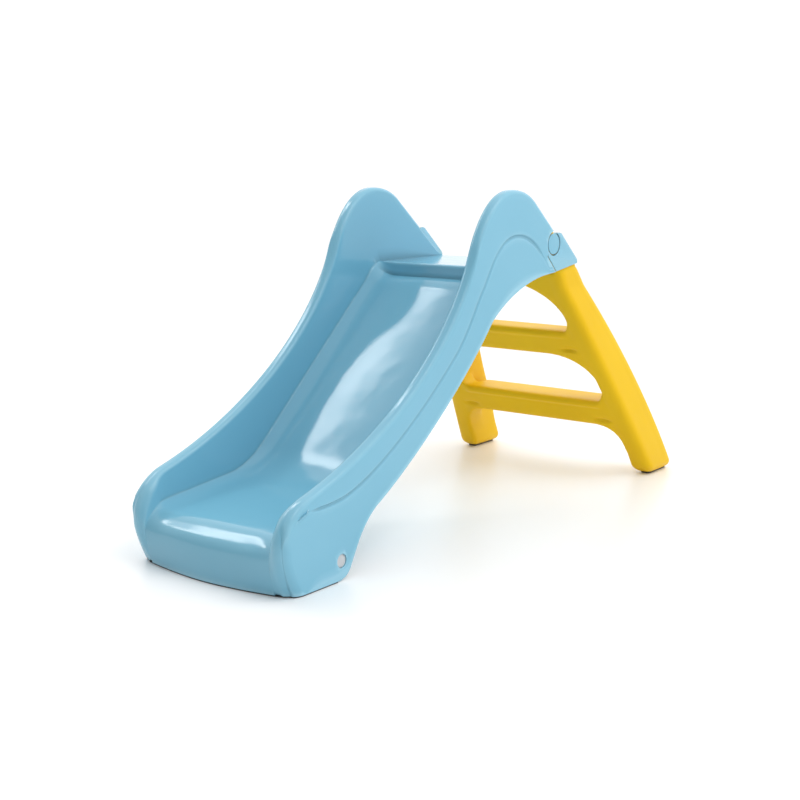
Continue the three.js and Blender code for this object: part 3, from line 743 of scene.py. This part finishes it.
# materials
def plastic(name, look):
    material = bpy.data.materials.new(name)
    material.use_nodes = True
    tree = material.node_tree
    shader = tree.nodes["Principled BSDF"]
    shader.inputs["IOR"].default_value = look["ior"]
    shader.inputs["Specular IOR Level"].default_value = look["specular"]
    shader.inputs["Coat Weight"].default_value = look["coat"]
    shader.inputs["Coat Roughness"].default_value = look["coatRoughness"]
    where = tree.nodes.new("ShaderNodeTexCoord")
    # broad, faint changes of shade from the wall's thickness
    cloud = tree.nodes.new("ShaderNodeTexNoise")
    cloud.inputs["Scale"].default_value = look["cloudScale"]
    cloud.inputs["Detail"].default_value = 3
    tree.links.new(where.outputs["Object"], cloud.inputs["Vector"])
    shade = tree.nodes.new("ShaderNodeValToRGB")
    shade.color_ramp.elements[0].position = 0.3
    shade.color_ramp.elements[0].color = (*look["dark"], 1)
    shade.color_ramp.elements[1].position = 0.72
    shade.color_ramp.elements[1].color = (*look["light"], 1)
    tree.links.new(cloud.outputs["Fac"], shade.inputs["Fac"])
    # rubbed edges are a touch paler, and the same paler colour paints a highlight along rims and groove edges
    round_ = tree.nodes.new("ShaderNodeNewGeometry")
    edge = tree.nodes.new("ShaderNodeMapRange")
    edge.inputs["From Min"].default_value = look["wearAndSheenFrom"]
    edge.inputs["From Max"].default_value = look["wearAndSheenTo"]
    edge.inputs["To Max"].default_value = look["wearAndSheen"]
    tree.links.new(round_.outputs["Pointiness"], edge.inputs["Value"])
    edgeWearAndSheen = tree.nodes.new("ShaderNodeMix")
    edgeWearAndSheen.data_type = "RGBA"
    edgeWearAndSheen.inputs["B"].default_value = (*look["edgeWearAndSheen"], 1)
    # and narrow creases a touch darker: painted shade in the grooves and under the treads
    crease = tree.nodes.new("ShaderNodeMapRange")
    crease.inputs["From Min"].default_value = 0.49
    crease.inputs["From Max"].default_value = 0.42
    crease.inputs["To Max"].default_value = look["creaseShade"]
    tree.links.new(round_.outputs["Pointiness"], crease.inputs["Value"])
    creaseShadeMix = tree.nodes.new("ShaderNodeMix")
    creaseShadeMix.data_type = "RGBA"
    # the painted shade colour, well below the surface's own darkest tone
    creaseShadeMix.inputs["B"].default_value = (*[c * 0.4 for c in look["dark"]], 1)
    tree.links.new(crease.outputs["Result"], creaseShadeMix.inputs["Factor"])
    tree.links.new(shade.outputs["Color"], creaseShadeMix.inputs["A"])
    tree.links.new(edge.outputs["Result"], edgeWearAndSheen.inputs["Factor"])
    tree.links.new(creaseShadeMix.outputs["Result"], edgeWearAndSheen.inputs["A"])
    tree.links.new(edgeWearAndSheen.outputs["Result"], shader.inputs["Base Color"])
    # roughness drifts over the surface, with fine rub marks
    rub = tree.nodes.new("ShaderNodeTexNoise")
    rub.inputs["Scale"].default_value = look["rubScale"]
    rub.inputs["Detail"].default_value = 6
    tree.links.new(where.outputs["Object"], rub.inputs["Vector"])
    rough = tree.nodes.new("ShaderNodeMapRange")
    rough.inputs["To Min"].default_value = look["roughLow"]
    rough.inputs["To Max"].default_value = look["roughHigh"]
    tree.links.new(rub.outputs["Fac"], rough.inputs["Value"])
    tree.links.new(rough.outputs["Result"], shader.inputs["Roughness"])
    # moulded skin: fine peel over a slow wave
    peel = tree.nodes.new("ShaderNodeTexNoise")
    peel.inputs["Scale"].default_value = look["peelScale"]
    peel.inputs["Detail"].default_value = 2
    tree.links.new(where.outputs["Object"], peel.inputs["Vector"])
    wave = tree.nodes.new("ShaderNodeTexNoise")
    wave.inputs["Scale"].default_value = look["waveScale"]
    wave.inputs["Detail"].default_value = 1
    tree.links.new(where.outputs["Object"], wave.inputs["Vector"])
    slow = tree.nodes.new("ShaderNodeBump")
    slow.inputs["Strength"].default_value = 1
    slow.inputs["Distance"].default_value = look["waveDepth"]
    tree.links.new(wave.outputs["Fac"], slow.inputs["Height"])
    fine = tree.nodes.new("ShaderNodeBump")
    fine.inputs["Strength"].default_value = 1
    fine.inputs["Distance"].default_value = look["peelDepth"]
    tree.links.new(peel.outputs["Fac"], fine.inputs["Height"])
    tree.links.new(slow.outputs["Normal"], fine.inputs["Normal"])
    tree.links.new(fine.outputs["Normal"], shader.inputs["Normal"])
    return material


blueLook = {
    "light": (0.195, 0.475, 0.625), "dark": (0.18, 0.455, 0.605), "edgeWearAndSheen": (0.36, 0.64, 0.77),
    "ior": 1.5, "specular": 0.5, "coat": 0.0, "coatRoughness": 0.06,
    "cloudScale": 3.2, "rubScale": 26, "roughLow": 0.07, "roughHigh": 0.12,
    "peelScale": 520, "peelDepth": 0.00004, "waveScale": 14, "waveDepth": 0.0006,
    # paler edges: real rubbing plus a painted highlight; darker creases: painted shade
    "wearAndSheenFrom": 0.508, "wearAndSheenTo": 0.55, "wearAndSheen": 0.55, "creaseShade": 0.7,
}
yellowLook = {
    "light": (0.86, 0.545, 0.006), "dark": (0.80, 0.49, 0.004), "edgeWearAndSheen": (0.94, 0.68, 0.05),
    "ior": 1.5, "specular": 0.16, "coat": 0.0, "coatRoughness": 0.2,
    "cloudScale": 4, "rubScale": 30, "roughLow": 0.36, "roughHigh": 0.48,
    "peelScale": 420, "peelDepth": 0.00022, "waveScale": 22, "waveDepth": 0.0005,
    # darker creases: painted shade
    "wearAndSheenFrom": 0.515, "wearAndSheenTo": 0.60, "wearAndSheen": 0.3, "creaseShade": 0.6,
}
greyLook = dict(blueLook, light=(0.60, 0.62, 0.64), dark=(0.52, 0.54, 0.56), edgeWearAndSheen=(0.7, 0.71, 0.72), coat=0.0,
                roughLow=0.3, roughHigh=0.42)
# near black rubber, partly a painted contact shadow under the toe and the feet
rubberAndShadowLook = dict(blueLook, light=(0.030, 0.034, 0.037), dark=(0.020, 0.023, 0.025), edgeWearAndSheen=(0.07, 0.07, 0.07),
                  coat=0.0, roughLow=0.6, roughHigh=0.8, peelDepth=0.0001)
steelLook = dict(blueLook, light=(0.62, 0.64, 0.66), dark=(0.50, 0.52, 0.54), edgeWearAndSheen=(0.75, 0.75, 0.75), coat=0.0,
                 roughLow=0.28, roughHigh=0.45)
bluePlastic = plastic("bluePlastic", blueLook)
yellowPlastic = plastic("yellowPlastic", yellowLook)
greyPlastic = plastic("greyPlastic", greyLook)
rubberAndContactShadow = plastic("rubberAndContactShadow", rubberAndShadowLook)
zincSteel = plastic("zincSteel", steelLook)
zincSteel.node_tree.nodes["Principled BSDF"].inputs["Metallic"].default_value = 1

pieceList = (
    (shellPiece, bluePlastic, "blue_plastic", "chute", ("slide_body",)),
    (coverLeft, bluePlastic, "blue_plastic", "chute", ("hinge_cover_left",)),
    (coverRight, bluePlastic, "blue_plastic", "chute", ("hinge_cover_right",)),
    (pinLeft, bluePlastic, "blue_plastic", "chute", ("hinge_pin_left",)),
    (pinRight, bluePlastic, "blue_plastic", "chute", ("hinge_pin_right",)),
    (plugLeft, greyPlastic, "grey_plastic", "chute", ("rod_plug_left",)),
    (plugRight, greyPlastic, "grey_plastic", "chute", ("rod_plug_right",)),
    (stripPiece, rubberAndContactShadow, "rubber", "chute", ("foot_strip",)),
    (ladderPiece, yellowPlastic, "yellow_plastic", "ladder_frame", ("ladder",)),
    (padLeft, rubberAndContactShadow, "rubber", "ladder_frame", ("ladder_foot_left",)),
    (padRight, rubberAndContactShadow, "rubber", "ladder_frame", ("ladder_foot_right",)),
)
for piece, finish, slotName, body, cadNodes in pieceList:
    piece.data.materials.clear()
    piece.data.materials.append(finish)
    if piece is not ladderPiece:
        smoothShaded(piece, 40 if piece is shellPiece else 32)
    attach(piece, body)
    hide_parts(*cadNodes)
for name in ("foot_tie_rod", "pin_ring_left", "pin_ring_right"):
    nodes[name].material_slots[0].material = zincSteel
print("materials made")

# camera and studio
camera = bpy.data.objects.new("camera", bpy.data.cameras.new("camera"))
camera.location = (-2.1557, -1.5829, 0.7269)
camera.rotation_euler = (math.radians(79.4), 0, math.radians(-52.7))
camera.data.lens = 58.71
camera.data.sensor_width = 36
scene.collection.objects.link(camera)
scene.camera = camera

studio = {"skyFront": 0.22, "skyBack": 1.22, "skyTop": 1.14, "skyColour": (1, 1, 1), "floorShade": 0.97}


def studioFloor():
    bm = bmesh.new()
    bmesh.ops.create_grid(bm, x_segments=4, y_segments=4, size=30)
    floorPiece = meshObject("studioFloor", bm)
    material = bpy.data.materials.new("paleFloor")
    material.use_nodes = True
    shader = material.node_tree.nodes["Principled BSDF"]
    shader.inputs["Base Color"].default_value = (studio["floorShade"],) * 3 + (1,)
    shader.inputs["Roughness"].default_value = 0.35
    shader.inputs["Specular IOR Level"].default_value = 0.35
    floorPiece.data.materials.append(material)


def softbox(name, place, target, width, depth, watts, twist=0):
    light = bpy.data.lights.new(name, "AREA")
    light.shape = "RECTANGLE"
    light.size, light.size_y = width, depth
    light.energy = watts
    lamp = bpy.data.objects.new(name, light)
    lamp.location = place
    aim = (Vector(target) - Vector(place)).to_track_quat("-Z", "Y")
    lamp.rotation_euler = (aim @ Quaternion((0, 0, 1), math.radians(twist))).to_euler()
    scene.collection.objects.link(lamp)


world = bpy.data.worlds.new("studio")
world.use_nodes = True
# the studio is brighter behind the piece than in front of it
sky = world.node_tree
sky.nodes["Background"].inputs["Color"].default_value = (*studio["skyColour"], 1)
direction = sky.nodes.new("ShaderNodeTexCoord")
parts = sky.nodes.new("ShaderNodeSeparateXYZ")
sky.links.new(direction.outputs["Generated"], parts.inputs["Vector"])
glow = sky.nodes.new("ShaderNodeMapRange")
glow.interpolation_type = "SMOOTHSTEP"
glow.inputs["From Min"].default_value = -1.0
glow.inputs["From Max"].default_value = 0.25
glow.inputs["To Min"].default_value = studio["skyFront"]
glow.inputs["To Max"].default_value = studio["skyBack"]
sky.links.new(parts.outputs["X"], glow.inputs["Value"])
lift = sky.nodes.new("ShaderNodeMapRange")
lift.inputs["From Min"].default_value = 0.1
lift.inputs["To Min"].default_value = 1
lift.inputs["To Max"].default_value = studio["skyTop"]
sky.links.new(parts.outputs["Z"], lift.inputs["Value"])
product = sky.nodes.new("ShaderNodeMath")
product.operation = "MULTIPLY"
sky.links.new(glow.outputs["Result"], product.inputs[0])
sky.links.new(lift.outputs["Result"], product.inputs[1])
sky.links.new(product.outputs["Value"], sky.nodes["Background"].inputs["Strength"])
scene.world = world
scene.view_settings.view_transform = "Standard"
studioFloor()
softbox("overhead", (-0.44, 1.75, 2.18), (-0.15, 0.05, 0.3), 1.35, 0.3, 8.4, -41)
softbox("strip", (-0.2, -1.35, 2.3), (-0.2, 0, 0.3), 2.6, 0.28, 14)
softbox("side", (0.9, -2.6, 1.9), (0.0, 0, 0.4), 1.4, 1.4, 3)
print("studio lit")
